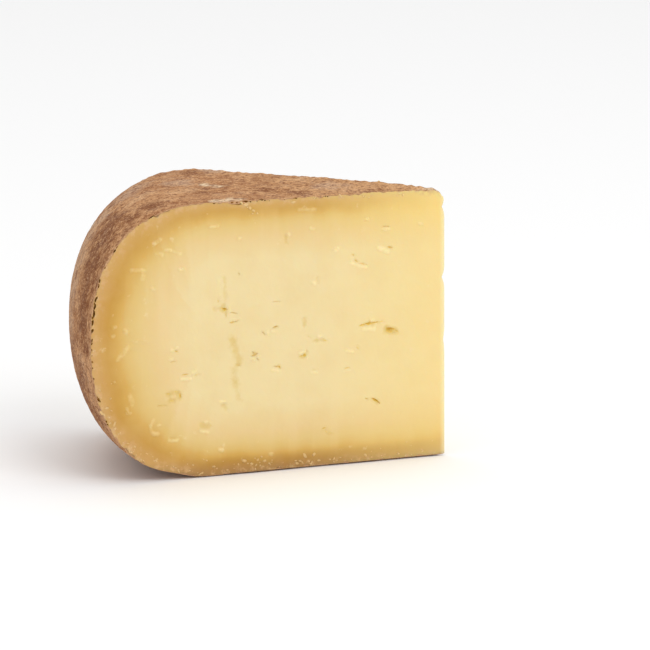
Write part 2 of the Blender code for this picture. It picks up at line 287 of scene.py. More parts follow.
FRONT_FLAKES = rows_of(Flake, (
    # a few bright flakes
    (121.9, 96, 2.2, 0.7, -36), (117.6, 92.3, 1.4, 0.6, 4), (112, 84.2, 0.9, 0.7, 0),
    (124, 77.2, 0.9, 0.8, 20), (140.1, 63.1, 1, 0.8, 0), (135.3, 61.2, 0.8, 1.3, 0),
    (140.6, 59.6, 0.9, 0.7, 0), (148.4, 54.3, 1.6, 0.9, -45), (140.2, 41.2, 0.8, 0.8, 0),
    (135.1, 29.2, 0.6, 1.6, 0), (123.2, 19, 1.2, 0.8, 0), (145.2, 29.1, 2.2, 1.2, 30),
    (138.5, 20.5, 1.2, 0.7, 0), (134, 12.5, 1.4, 0.9, 30), (129, 8.8, 1.2, 0.7, 20),
))
FRONT_LUMPS = rows_of(Flake, (
    # crumbs that trail down from the notch in the top edge
    (86.6, 108.6, 1.5, 1.2, 35), (84.9, 107.8, 1.9, 1.4, 20), (84.2, 106.8, 0.9, 0.9, 0),
    (83.2, 106.4, 1.5, 1.3, 50), (81.8, 105.2, 1.5, 1.1, 30), (82.2, 104.1, 0.8, 0.7, 0),
    (80.1, 104, 1, 0.9, 40),
    # lumps of rind and paste along the foot
    (86.3, 5, 2.1, 1.9, 10), (84.8, 3.8, 0.8, 0.8, 0), (83.2, 3.5, 1.4, 1.2, 0),
    (81.8, 5.6, 0.8, 0.7, 0), (80.6, 4.8, 1.2, 1.1, -30), (79, 6, 0.9, 0.8, 0),
    (77.8, 4.2, 1.6, 1.3, -20), (75.8, 3, 1, 0.9, 0), (99, 3.7, 1.3, 1.1, 0),
    (107.7, 5, 1, 0.8, 0), (62.6, 2.8, 1.2, 1, 0), (59, 2.4, 1.2, 1, 0),
    (56.6, 4.8, 1.6, 1.5, -40), (54.6, 2.2, 1.4, 0.9, 0), (49.9, 2.2, 0.9, 0.8, 0),
    (45.4, 2.6, 0.9, 0.8, 0),
))
CHIP_SPACING = CHIP_WIDTH = 0.0008
FLAKE_THICKNESS = 0.0004
CRUMB_THICKNESS = 0.6  # share of its width
CHIP_SUNK = 0.15  # share of its thickness that lies in the paste
CRUMB_SEED, CRUMB_COUNT = 5, 90
CRUMB_SPAN, TOP_CRUMB_SPAN = (0.006, 0.1485), (0.015, 0.070)  # along the base and the top edge
TOP_CRUMBS, TOP_CRUMB_GAP = 0.4, 0.6  # share of them up there, and of their gap to the rim
CRUMB_GAP, CRUMB_SCATTER = 0.0009, 0.0025
CRUMB_SIZE, CRUMB_GROWTH = 0.0005, 0.0010
EDGE_BAND = 0.012  # flakes this near the top or base belong to the front cut alone

# Patches of colour on the rind, by degrees round from the front cut.
DARK_PATCHES = rows_of(Patch, (
    (3, 149.9, 56, 9), (3.5, 149.9, 64, 11), (4.5, 149, 72, 12), (4.5, 147, 80, 14),
    (5, 143.5, 88, 16), (7, 139, 95, 16), (9.5, 134.5, 99.5, 13), (15, 134.5, 99.5, 9),
    (5, 129, 103.5, 10), (6.5, 120.5, 107.5, 9), (11, 137.6, 96.8, 14), (8.5, 142, 91, 14),
    (7.5, 145.4, 84.5, 14), (13, 97.5, 110, 6), (1, 33, 109.5, 4), (2, 28.5, 109.3, 3),
    (12, 149.8, 48, 12), (9.5, 148.5, 38, 14), (8, 145, 26, 12), (6, 149, 40, 11),
    (4, 144, 25, 10), (18, 95.5, 110, 6), (15, 73, 110, 8), (9, 60, 110, 8), (6, 27.5, 109.5, 7),
))
PALE_PATCHES = rows_of(Patch, (
    (23, 96, 110, 6), (22, 91, 110, 6.6), (1.9, 96.5, 109.8, 5.5), (2.1, 93.5, 109.8, 6.6),
    (2.2, 90.5, 109.8, 7), (2.3, 87.5, 109.8, 6.2), (2.6, 85, 109.8, 4.6), (20, 4.5, 108, 10),
))
# Painted sheen: these grey patches follow the rind's shoulder and top where it is seen at a grazing
# angle, and paint the grey sheen there.
PAINTED_SHEEN_PATCHES = rows_of(Patch, (
    (27.5, 126.3, 105.3, 13), (24, 129.5, 103.5, 13), (20.5, 138, 96, 13), (18.5, 142.5, 89, 13),
    (16.5, 146.5, 81, 13), (14, 149, 72, 13), (13.5, 150, 60, 11), (26, 106, 109.5, 11),
    (25, 44, 110, 7),
))
PATCH_SEED = 4
FAR_FOOT, FAR_TOP, FAR_TURN = 0.012, 0.098, 0.55  # more patches lie beyond this share of the turn
FLAT_SPAN, FLAT_LEVEL = (0.04, 0.12), 0.109  # those above FAR_TOP lie on the flat top
# Kind of patch, its own places, how many more on the far side, and their reach.
PATCHES = (
    ("dark", DARK_PATCHES, 12, 0.008, 0.016),
    ("pale", PALE_PATCHES, 8, 0.005, 0.011),
    ("grey", PAINTED_SHEEN_PATCHES, 6, 0.010, 0.018),
)

# ---- relief: name, size, height
WIRE_DRAG = ("wire_drag", 0.007, 0.00028)
WRINKLE = ("wrinkle", 0.0032, 0.00032)
GRAIN = ("grain", 0.0014, 0.00022)
LENS_LUMPS = ("lens_lumps", 0.8, 0.55)
CHIP_LUMPS = ("chip_lumps", 0.5, 0.45)
SUNKEN = 0.65  # more of the rind's relief is hollow than raised
PASTE_SMOOTH, RIND_SMOOTH = 40, 55  # edges sharper than this stay sharp

# ---- colours as they look on a screen, 0 to 255
# The paste by its depth below the rind. The band is thinner under the flats.
BAND_STOPS = (
    (0.0, (207, 161, 97)),
    (0.0025, (203, 156, 86)),
    (0.0045, (201, 153, 75)),
    (0.0068, (200, 152, 66)),
    (0.0090, (205, 159, 73)),
    (0.0115, (214, 171, 86)),
    (0.0150, (222, 188, 113)),
    (0.0195, (227, 198, 130)),
    (0.0270, (232, 204, 145)),
    (0.0440, (236, 216, 163)),
)
BAND_REACH = 0.045  # depth at which the paste has its own pale colour
FLAT_RADIUS, FLAT_FADE, TOP_THIN, BASE_THIN = 0.128, 0.030, 0.95, 0.70
FOOT_HEIGHT = 0.0075  # the cut face is darker below this
CLOUD, DRAG, SCRAPE = (226, 190, 124), (240, 218, 170), (242, 220, 172)
# PRESSED: golden tone, with painted shade in the dents. RAISED: paler lips, partly a painted
# highlight.
PRESSED, RAISED, SMEAR = (216, 184, 96), (252, 232, 176), (218, 176, 124)
# Painted shade: below FOOT_HEIGHT the cut face is tinted towards FOOT, for the shade where it meets
# the floor.
UPPER, FOOT = (222, 186, 108), (118, 72, 32)
# Painted light: GLOW and TIP_EDGE paint the light that the thin tip lets through.
GLOW, TIP_EDGE = (246, 217, 136), (250, 238, 200)
# Painted light and shade in the eyes: golden walls for light scattered in the paste, DEEP_GOLD for
# the shade deeper in.
GOLD, DARK_GOLD, DEEP_GOLD = (244, 218, 126), (236, 204, 98), (208, 160, 44)
PIT_BROWN, PIT_DARK = (150, 102, 44), (112, 72, 26)
CRUMB = (242, 206, 148)
RIND_STOPS = (
    (0.0, (152, 98, 60)),
    (0.35, (174, 122, 80)),
    (0.65, (192, 142, 98)),
    (1.0, (212, 166, 122)),
)
RIND_TIP, CUT_RIM = (216, 168, 118), (158, 108, 60)
# Specks: what drives them, where they begin and are full, their share and colour.
RIND_SPECKS = (
    ("fleck", 0.49, 0.36, 0.8, (122, 70, 40)),
    ("fleck", 0.55, 0.68, 0.6, (228, 178, 128)),
    ("grain", 0.46, 0.30, 0.8, (106, 62, 32)),
    ("grain", 0.56, 0.72, 0.65, (236, 190, 142)),
    # The crease rows darken the rind where it is hollow and lighten it where it is ridged, by the
    # surface's pointiness.
    ("crease", 0.49, 0.44, 0.7, (106, 64, 36)),
    ("crease", 0.51, 0.56, 0.5, (218, 178, 138)),
)
# Patch, its colour, the level at which it begins to show, and its share.
PATCH_TONES = (
    ("dark", (130, 78, 42), 0.15, 0.95),
    # The grey tone paints the sheen along the listed patches, and is grey mould on the far side.
    ("grey", (196, 162, 134), 0.15, 0.68),
    ("pale", (236, 214, 180), 0.42, 0.8),
)

# ---- the view
SENSOR, FOCAL_LENGTH = 36.0, 387.6923  # millimetres
TIP_RIGHT, TIP_BELOW = 6.7237, 7.1502  # of the tip's foot from the middle, on the sensor
VIEW_DISTANCE = 2.796
VIEW_AZIMUTH = math.radians(1.5)
VIEW_ELEVATION = math.radians(13.15)


# ======== hand tools
def deselect_all():
    if bpy.context.mode != "OBJECT":
        bpy.ops.object.mode_set(mode="OBJECT")
    bpy.ops.object.select_all(action="DESELECT")


def choose(*pieces):
    deselect_all()
    for piece in pieces:
        piece.select_set(True)
    bpy.context.view_layer.objects.active = pieces[0]


def edit(piece):
    """Enters edit mode with all of a piece selected."""
    choose(piece)
    bpy.ops.object.mode_set(mode="EDIT")
    bpy.ops.mesh.select_mode(type="VERT")
    bpy.ops.mesh.select_all(action="SELECT")


def leave():
    bpy.ops.object.mode_set(mode="OBJECT")


def middle(element):
    return sum((vert.co for vert in element.verts), Vector()) / len(element.verts)


def pick(piece, kind, test):
    """In edit mode, selects the vertices, edges or faces that pass a test."""
    bpy.ops.mesh.select_mode(type=kind)
    bpy.ops.mesh.select_all(action="DESELECT")
    mesh = bmesh.from_edit_mesh(piece.data)
    elements = {"VERT": mesh.verts, "EDGE": mesh.edges, "FACE": mesh.faces}[kind]
    for element in elements:
        if test(element):
            element.select_set(True)
    mesh.select_flush_mode()
    bmesh.update_edit_mesh(piece.data)


def pick_nearest(piece, tree, spots):
    """In edit mode, selects the vertices that lie nearest to some spots."""
    bpy.ops.mesh.select_all(action="DESELECT")
    mesh = bmesh.from_edit_mesh(piece.data)
    mesh.verts.ensure_lookup_table()
    for spot in spots:
        mesh.verts[tree.find(spot)[1]].select_set(True)
    mesh.select_flush_mode()
    bmesh.update_edit_mesh(piece.data)


def pull(way, reach, falloff="SHARP"):
    """Moves what is selected and, less and less, what lies within reach of it."""
    bpy.ops.transform.translate(
        value=way,
        use_proportional_edit=True,
        proportional_edit_falloff=falloff,
        proportional_size=reach,
    )


def move_all(piece, way):
    edit(piece)
    bpy.ops.transform.translate(value=way)
    leave()


def merge_doubles(distance=SAME):
    bpy.ops.mesh.select_all(action="SELECT")
    bpy.ops.mesh.remove_doubles(threshold=distance)


def face_outwards():
    bpy.ops.mesh.select_all(action="SELECT")
    bpy.ops.mesh.normals_make_consistent(inside=False)


def join(pieces):
    choose(*pieces)
    bpy.ops.object.join()
    bpy.ops.object.transform_apply(location=True, rotation=True, scale=True)
    return pieces[0]


def finish_with(piece, kind, **settings):
    """Adds a modifier, sets it and applies it."""
    choose(piece)
    modifier = piece.modifiers.new(kind.lower(), kind)
    for name, value in settings.items():
        setattr(modifier, name, value)
    bpy.ops.object.modifier_apply(modifier=modifier.name)


def roughen(piece, name, size, height, group="", level=0.5, octaves=1):
    """Moves the surface out and in by cloudy noise of this size."""
    texture = bpy.data.textures.new(name, "CLOUDS")
    texture.noise_scale = size
    texture.noise_depth = octaves
    finish_with(
        piece,
        "DISPLACE",
        texture=texture,
        texture_coords="LOCAL",
        strength=height,
        mid_level=level,
        vertex_group=group,
    )


def weigh(piece, group, weight_of):
    """A vertex group whose weight at each vertex is worked out from its place."""
    weights = piece.vertex_groups.new(name=group)
    for vert in piece.data.vertices:
        weight = weight_of(vert.co)
        if weight > 0:
            weights.add([vert.index], min(1.0, weight), "REPLACE")


def store(piece, name, values):
    """Gives a piece an attribute with one value for each vertex."""
    piece.data.attributes.new(name, "FLOAT", "POINT").data.foreach_set("value", values)


def tree_of(places):
    """Finds the nearest of these places."""
    tree = KDTree(len(places))
    for index, place in enumerate(places):
        tree.insert(place, index)
    tree.balance()
    return tree


def vertex_tree(piece):
    return tree_of([vert.co for vert in piece.data.vertices])


def smooth(piece, degrees):
    choose(piece)
    bpy.ops.object.shade_smooth_by_angle(angle=math.radians(degrees))


def fading(distance, reach):
    """1 where the distance is nothing, falling to 0 at this reach."""
    return max(0.0, 1 - distance / reach)


def clipped(share):
    return max(0.0, min(1.0, share))


# ======== the wheel's section
def is_near(a, b):
    return abs(a - b) < NEAR


def section_blank(name, inset):
    """An upright plate with corners at the axis, the flats' ends, the girth and the shoulders."""
    base, top, rim = inset, WHEEL_HEIGHT - inset, WHEEL_RADIUS - inset
    half = (base + top) / 2
    deselect_all()
    bpy.ops.mesh.primitive_plane_add(size=1)
    piece = bpy.context.object
    piece.name = piece.data.name = name
    edit(piece)
    bpy.ops.transform.translate(value=(0.5, 0.5, 0))
    bpy.ops.transform.rotate(value=-math.pi / 2, orient_axis="X", center_override=(0, 0, 0))
    bpy.ops.transform.resize(value=(BASE_RADIUS, 1, top - base), center_override=(0, 0, 0))
    bpy.ops.transform.translate(value=(0, 0, base))
    pick(piece, "EDGE", lambda edge: is_near(middle(edge).x, BASE_RADIUS))
    bpy.ops.mesh.extrude_edges_move(TRANSFORM_OT_translate={"value": (rim - BASE_RADIUS, 0, 0)})
    pick(piece, "VERT", lambda v: is_near(v.co.x, BASE_RADIUS) and is_near(v.co.z, top))
    bpy.ops.transform.translate(value=(TOP_RADIUS - BASE_RADIUS, 0, 0))
    pick(piece, "EDGE", lambda edge: is_near(middle(edge).x, rim))
    bpy.ops.mesh.subdivide(number_cuts=1)
    pick(piece, "VERT", lambda v: is_near(v.co.x, rim) and is_near(v.co.z, half))
    bpy.ops.transform.translate(value=(0, 0, GIRTH_HEIGHT - half))
    return piece


def round_corner(piece, height, fullness, cells):
    """Bevels an outer corner to a superellipse of this fullness."""
    pick(piece, "VERT", lambda v: v.co.x > TOP_RADIUS + 0.01 and is_near(v.co.z, height))
    bpy.ops.mesh.bevel(
        offset_type="PERCENT",
        offset_pct=100,
        segments=cells,
        profile=math.exp(-2 * math.log(2) / fullness),
        affect="VERTICES",
    )


def pick_edge(piece, out, up):
    """Selects the plate's edge that has its middle here."""
    spot = Vector((out, 0, up))
    pick(piece, "EDGE", lambda edge: (middle(edge) - spot).length < 10 * NEAR)


def cut_edge(piece, out, up, cells):
    pick_edge(piece, out, up)
    bpy.ops.mesh.subdivide(number_cuts=cells - 1)


def half_section(name, inset, cells):
    """The outline of the half section, as wire in the XZ plane. A fifth count keeps the axis."""
    base, top = inset, WHEEL_HEIGHT - inset
    half = (base + top) / 2
    piece = section_blank(name, inset)
    pick_edge(piece, (BASE_RADIUS + TOP_RADIUS) / 2, half)
    bpy.ops.mesh.dissolve_edges(use_verts=False)
    round_corner(piece, base, BASE_FULLNESS, cells[1])
    round_corner(piece, top, TOP_FULLNESS, cells[2])
    merge_doubles(NEAR)
    cut_edge(piece, BASE_RADIUS / 2, base, cells[0])
    cut_edge(piece, TOP_RADIUS / 2, top, cells[3])
    if len(cells) == 5:
        cut_edge(piece, 0, half, cells[4])
    bpy.ops.mesh.select_all(action="SELECT")
    bpy.ops.mesh.delete(type="ONLY_FACE")
    if len(cells) == 4:
        pick(piece, "EDGE", lambda edge: middle(edge).xy.length < SAME)
        bpy.ops.mesh.delete(type="EDGE")
    bpy.ops.mesh.select_all(action="SELECT")
    bpy.ops.mesh.subdivide(number_cuts=1)
    return piece


def spin_section(piece, steps):
    """Turns the outline to the front cut and spins it round to the back cut."""
    bpy.ops.mesh.select_all(action="SELECT")
    turn = math.pi - HALF_ANGLE
    bpy.ops.transform.rotate(value=turn, orient_axis="Z", center_override=(0, 0, 0))
    pick(piece, "EDGE", lambda edge: middle(edge).xy.length > SAME)
    bpy.ops.mesh.spin(steps=steps, angle=WEDGE_ANGLE, center=(0, 0, 0), axis=(0, 0, 1))
    merge_doubles()


def off_cut(place, side):
    """How far a point lies inside a cut plane through the wheel's axis."""
    return -place.x * math.sin(HALF_ANGLE) - side * place.y * math.cos(HALF_ANGLE)


def off_cuts(place):
    """How far a point lies inside the nearer cut plane."""
    return min(off_cut(place, FRONT), off_cut(place, BACK))


def on_cut(vert, side):
    return abs(off_cut(vert.co, side)) < SAME


def pick_open(piece, side, with_axis):
    """Selects the open edges that lie on a cut, with or without those along the wheel's axis."""

    def is_open(edge):
        if len(edge.link_faces) > 1 or not (with_axis or middle(edge).xy.length > SAME):
            return False
        return all(on_cut(vert, side) for vert in edge.verts)

    pick(piece, "EDGE", is_open)


def fill_cut_face(piece, side):
    """Closes one end of the spun outline with a grid of small faces."""
    pick_open(piece, side, with_axis=True)
    bpy.ops.mesh.select_mode(type="VERT")
    mesh = bmesh.from_edit_mesh(piece.data)
    foot = min(mesh.verts, key=lambda vert: vert.co.length)
    mesh.select_history.clear()
    mesh.select_history.add(foot)
    bmesh.update_edit_mesh(piece.data)
    bpy.ops.mesh.fill_grid(span=2 * PASTE_CELLS[4], offset=0)


# ======== the wheel's settled shape
def sine_roll(radius, start, length):
    along = (radius - start) / length
    return math.sin(math.tau * along) if 0 < along < 1 else 0.0


def wave(place, size, seed):
    return noise.noise(place / size + Vector((seed, seed, seed)))


def half_wheel(up):
    """Radius of the flat, fullness and height of the half of the wheel that this height is in."""
    if up > GIRTH_HEIGHT:
        return TOP_RADIUS, TOP_FULLNESS, WHEEL_HEIGHT - GIRTH_HEIGHT
    return BASE_RADIUS, BASE_FULLNESS, -GIRTH_HEIGHT


def fullness_at(place):
    """How far out in the section a point lies, 1 on the rind, and the direction outwards there."""
    radius = place.xy.length
    flat, power, height = half_wheel(place.z)
    out = max(0.0, radius - flat) / (WHEEL_RADIUS - flat)
    rise = (place.z - GIRTH_HEIGHT) / height
    share = (out**power + rise**power) ** (1 / power)
    slope = Vector((out ** (power - 1) / (WHEEL_RADIUS - flat), rise ** (power - 1) / height))
    if radius < SAME or slope.length < SAME:
        return share, Vector((0, 0, 0))
    slope.normalize()
    level = place.xy / radius * slope.x
    return share, Vector((level.x, level.y, slope.y))


def shoulder_radius(up):
    """How far out the rind lies at this height."""
    flat, power, height = half_wheel(up)
    rise = (up - GIRTH_HEIGHT) / height
    return flat + (WHEEL_RADIUS - flat) * max(0.0, 1 - rise**power) ** (1 / power)


def shoulder_height(out, half):
    """Height of the wheel's underside or top at this distance from its axis."""
    flat, power, height = half_wheel(half)
    reach = max(0.0, out - flat) / (WHEEL_RADIUS - flat)
    return GIRTH_HEIGHT + height * (1 - reach**power) ** (1 / power)


def swelling(place):
    """The slow swells and crinkles of the whole wheel, which rind and paste share."""
    share, direction = fullness_at(place)
    grown = max(0.0, (share - SWELL_FADE) / (1 - SWELL_FADE)) * min(1.0, place.z / EVEN_HEIGHT)
    spot = place + direction * (1 - share) * SWELL_DEPTH
    height = RIND_SWELL * wave(spot, RIND_SWELL_SIZE, 1.0)
    height -= RIND_CRINKLE * abs(wave(spot, RIND_CRINKLE_SIZE, 5.0))
    return (direction * height + fraying(place, direction)) * grown


def fraying(place, direction):
    """The wire tears the rim of the wheel a little where it passes."""
    near = fading(off_cuts(place), FRAY_REACH)
    return direction * FRAY * near * min(1.0, place.z / EVEN_HEIGHT) * wave(place, FRAY_SIZE, 3.0)


def outward(side):
    return Vector((math.sin(HALF_ANGLE), side * math.cos(HALF_ANGLE), 0))


def wire_wave(place):
    """The slow waves that the cheese wire leaves in both cut faces."""
    shift = Vector()
    flat = Vector((place.x, place.y, place.z * WAVE_LOW))
    height = WIRE_WAVE * wave(flat, WIRE_WAVE_SIZE, 9.0) * min(1.0, place.xy.length / WAVE_FADE)
    for side in (FRONT, BACK):
        shift += outward(side) * height * fading(off_cut(place, side), WAVE_REACH)
    return shift


def settled(place):
    """Where a point of the plain spun wedge goes once the cheese has aged, sunk and settled."""
    radius = place.xy.length
    share = place.z / WHEEL_HEIGHT
    upper = max(0.0, (place.z - GIRTH_HEIGHT) / (WHEEL_HEIGHT - GIRTH_HEIGHT))
    lower = fading(place.z, GIRTH_HEIGHT)
    towards_back = math.atan2(place.y, -place.x) / WEDGE_ANGLE + 0.5 if radius > SAME else 0.5
    sunk = TOP_DISH * share * max(0.0, 1 - (radius / TOP_RADIUS) ** 2)
    rise = TOP_ROLL * towards_back * upper * sine_roll(radius, ROLL_START, ROLL_LENGTH)
    rise += HEEL * lower**2 * sine_roll(radius, HEEL_START, HEEL_LENGTH)
    rise -= BASE_SETTLE * lower if radius > BASE_RADIUS else 0.0
    droop = TIP_DROOP * fading(radius, DROOP_REACH) ** 1.5
    droop += CORNER_DROOP * fading(radius, CORNER_REACH) ** 2
    height = place.z + rise - sunk - droop * share**DROOP_FADE
    return Vector((place.x, place.y, height)) + swelling(place) + wire_wave(place)


def settle(piece, lowest):
    """Moves a piece to the wheel's settled shape and over to its place in the frame."""
    for vert in piece.data.vertices:
        vert.co = settled(vert.co)
        if vert.co.z < SOFT_BELOW:
            soft = HEEL_SOFT * clipped((vert.co.xy.length - BASE_RADIUS) / HEEL_SOFT_RUN)
            eased = (vert.co.z + math.hypot(vert.co.z, soft)) / 2
            vert.co.z = max(eased, lowest if eased < FOOT_BELOW else 0.0)
        vert.co += TIP


def radius_of(place):
    return (place.xy - TIP.xy).length


def outwards_along(side):
    """The level way from the tip out to the rind, along a cut face."""
    return Vector((-math.cos(HALF_ANGLE), side * math.sin(HALF_ANGLE), 0))


def on_face(side, out, up, lift=0.0):
    """A point of a cut face, this far out from the tip's edge, lifted off the face."""
    return TIP + outwards_along(side) * out + outward(side) * lift + Vector((0, 0, up))


def laid_on(side, feature, lift=0.0):
    """Frame of a feature of a cut face: X along its slope, Y into the cheese."""
    axes = (outwards_along(side), -outward(side), Vector((0, 0, 1)))
    face = Matrix(axes).transposed().to_4x4()
    tilt = Matrix.Rotation(math.radians(-feature.slope), 4, "Y")
    return Matrix.Translation(on_face(side, feature.out, feature.up, lift)) @ face @ tilt


def slid(feature, along, aside=0.0):
    """A spot this far along a feature's slope from its middle and this far aside."""
    turn = math.radians(feature.slope)
    out = feature.out + along * math.cos(turn) - aside * math.sin(turn)
    return out, feature.up + along * math.sin(turn) + aside * math.cos(turn)


def turned_over(features):
    """The same eyes, marks or flakes upside down, for the back cut."""
    turned = []
    for feature in features:
        changes = {"up": WHEEL_HEIGHT - feature.up}
        if isinstance(feature, Mark):
            changes["end_up"] = WHEEL_HEIGHT - feature.end_up
        else:
            changes["slope"] = -feature.slope
        turned.append(feature._replace(**changes))
    return tuple(turned)


# ======== the paste
def is_outermost(place):
    return fullness_at(place)[0] > RIM_SHARE and place.xy.length > 0.001


def paste_body():
    piece = half_section("paste", PASTE_INSET, PASTE_CELLS)
    spin_section(piece, PASTE_STEPS)
    fill_cut_face(piece, FRONT)
    fill_cut_face(piece, BACK)
    face_outwards()
    pick(piece, "VERT", lambda vert: off_cuts(vert.co) > 10 * NEAR)
    bpy.ops.transform.shrink_fatten(value=-SKIN_DRAW)
    leave()
    rim = [vert for vert in piece.data.vertices if on_cut(vert, FRONT) and is_outermost(vert.co)]
    bite_rim(piece)
    settle(piece, PASTE_INSET)
    return piece, tree_of([section_place(vert.co) for vert in rim])


def section_place(place):
    """Where a point lies in the wheel's section: distance from the axis and height."""
    return Vector((radius_of(place), 0, place.z))


def bite_rim(piece):
    """Draws the rim of both cut faces in here and there, so that the cut rind shows uneven."""
    for vert in piece.data.vertices:
        share, direction = fullness_at(vert.co)
        if share > RIM_SHARE and (on_cut(vert, FRONT) or on_cut(vert, BACK)):
            torn = max(0.0, wave(vert.co, BITE_SIZE, 14.0) + BITE_LEVEL)
            vert.co -= direction * BITE * torn


def cut_weight(place):
    """The wire's drag marks show on the cut faces, clear of the rim and the tip."""
    close = min(abs(off_cut(place - TIP, FRONT)), abs(off_cut(place - TIP, BACK)))
    inside = clipped((DRAG_END - fullness_at(place - TIP)[0]) / DRAG_END_RUN)
    return min(1.0, radius_of(place) / WAVE_FADE) * inside if close < FACE_SKIN else 0.0


def press(piece, tree, side, mark):
    """Presses a soft dent into a cut face along a short line, or raises a ridge."""
    length = math.dist((mark.out, mark.up), (mark.end_out, mark.end_up))
    steps = max(1, round(length / PRESS_STEP))
    spots = []
    for step in range(steps + 1):
        part = step / steps
        out = mark.out + (mark.end_out - mark.out) * part
        up = mark.up + (mark.end_up - mark.up) * part
        spots.append(on_face(side, out, up))
    pick_nearest(piece, tree, spots)
    pull(outward(side) * -MARK_DEPTH * mark.depth, mark.reach, "SMOOTH")


def press_marks(piece, side, marks):
    """Halves the faces of a cut face round its marks, and presses them in."""
    ends = tree_of([on_face(side, *end) for mark in marks for end in (mark[:2], mark[2:4])])
    facing = outward(side)
    edit(piece)
    pick(
        piece,
        "FACE",
        lambda face: abs(face.normal.dot(facing)) > 0.8
        and ends.find(middle(face))[2] < MARK_FINENESS,
    )
    bpy.ops.mesh.subdivide(number_cuts=1)
    leave()
    tree = vertex_tree(piece)
    edit(piece)
    for mark in marks:
        press(piece, tree, side, mark)
    leave()


def funnels(eyes):
    """Soft dents round the mouths of the eyes."""
    marks = []
    for eye in eyes:
        half = FUNNEL_LENGTH * eye.length
        reach = FUNNEL_REACH + FUNNEL_REACH_GROWTH * eye.width
        depth = FUNNEL_DEPTH + FUNNEL_DEPTH_GROWTH * eye.width
        marks.append(Mark(*slid(eye, -half), *slid(eye, half), reach, depth))
    return tuple(marks)


def chip_tip(piece):
    """Small chips along the sharp edge between the two cut faces, and a rounded upper end."""
    tree = vertex_tree(piece)
    edit(piece)
    pick(piece, "VERT", lambda vert: radius_of(vert.co) < 10 * NEAR)
    pull((-TIP_WEAR, 0, 0), TIP_WEAR_REACH)
    for height, depth, reach in TIP_NICKS:
        pick_nearest(piece, tree, [TIP + Vector((0, 0, height))])
        pull((-depth, 0, 0), reach)
    leave()
    edge = [vert.co for vert in piece.data.vertices if radius_of(vert.co) < 2 * TIP_WEAR]
    corner = max(edge, key=lambda place: place.z).copy()
    edit(piece)
    pick(piece, "VERT", lambda vert: (vert.co - corner).length < NEAR)
    pull(CORNER_PULL, CORNER_WEAR_REACH)
    leave()


def lens(number):
    """A lumpy lens with pointed ends, one unit long each way, for cutting an eye."""
    deselect_all()
    bpy.ops.mesh.primitive_ico_sphere_add(subdivisions=3, radius=1)
    piece = bpy.context.object
    edit(piece)
    for end in (-1, 1):
        pick(piece, "VERT", lambda vert: vert.co.x * end > LENS_END)
        pull((end * (LENS_STRETCH - 1), 0, 0), LENS_REACH)
    leave()
    move_all(piece, (number * LENS_STEP, 0, 0))
    roughen(piece, *LENS_LUMPS, octaves=2)
    move_all(piece, (-number * LENS_STEP, 0, 0))
    return piece


def eye_cutter(side, eyes, finishes):
    """One object that cuts all of these eyes and gives them the last of the finishes."""
    pieces = []
    under = Matrix.Rotation(UNDERCUT, 4, "X")
    for number, eye in enumerate(eyes):
        piece = lens(number)
        size = Matrix.Diagonal((eye.length / 2, EYE_DEPTH * eye.depth, eye.width / 2, 1))
        piece.matrix_world = laid_on(side, eye) @ under @ size
        pieces.append(piece)
    cutter = join(pieces)
    for material in finishes:
        cutter.data.materials.append(material)
    edit(cutter)
    face_outwards()
    cutter.active_material_index = len(finishes) - 1
    bpy.ops.object.material_slot_assign()
    leave()
    return cutter


def apart(one, other):
    """Whether two eyes can be cut in one go."""
    distance = math.dist((one.out, one.up), (other.out, other.up))
    return distance > CLEARANCE * (one.length + other.length)


def layers(eyes):
    """Sorts eyes into sets whose members lie clear of each other."""
    sets = []
    for eye in eyes:
        room = next((one for one in sets if all(apart(eye, other) for other in one)), None)
        if room is None:
            sets.append([eye])
        else:
            room.append(eye)
    return sets


def cut_eyes(piece, side, eyes, finishes):
    for layer in layers(eyes):
        cutter = eye_cutter(side, layer, finishes)
        finish_with(piece, "BOOLEAN", object=cutter, operation="DIFFERENCE", solver="MANIFOLD")
        bpy.data.objects.remove(cutter, do_unlink=True)


def rim_pit(out, up, length):
    """A pit drawn out along the rind's line."""
    over = max(0.0, out - half_wheel(up)[0])
    steep = 90 * min(1.0, over / (WHEEL_RADIUS - BASE_RADIUS)) ** PIT_TURN
    slope = -steep if up > GIRTH_HEIGHT else steep
    return Eye(out, up, length, PIT_WIDTH * length, PIT_DEPTH, slope)


def stray_pits(count, largest, draw):
    """Pits at uneven distances along the rim of a cut face."""
    for _ in range(count):
        up = GIRTH_HEIGHT * draw.uniform(0.4, 1.9)
        out = shoulder_radius(up) - STRAY_INSET
        if draw.random() < TOP_STRAYS:
            out = draw.uniform(*TOP_STRAY_SPAN)
            up = settled(on_face(FRONT, out, WHEEL_HEIGHT) - TIP).z - TOP_STRAY_INSET
        yield rim_pit(out, up, draw.uniform(STRAY_LEAST, 1.0) * largest)


def lobes(pit, draw):
    """A pit as a ragged cluster: its body, two ends that bend away and a crack across it."""
    yield pit._replace(length=0.75 * pit.length)
    for end in (-1, 1):
        along = end * draw.uniform(0.22, 0.34) * pit.length
        spot = slid(pit, along, draw.uniform(-0.35, 0.35) * pit.width)
        length = draw.uniform(0.35, 0.6) * pit.length
        width = draw.uniform(0.5, 0.8) * pit.width
        yield Eye(*spot, length, width, 0.8 * pit.depth, pit.slope + draw.uniform(-45, 45))
    crack = draw.uniform(0.35, 0.6) * pit.length
    yield pit._replace(length=crack, width=0.0005, depth=0.0012, slope=draw.uniform(40, 140))


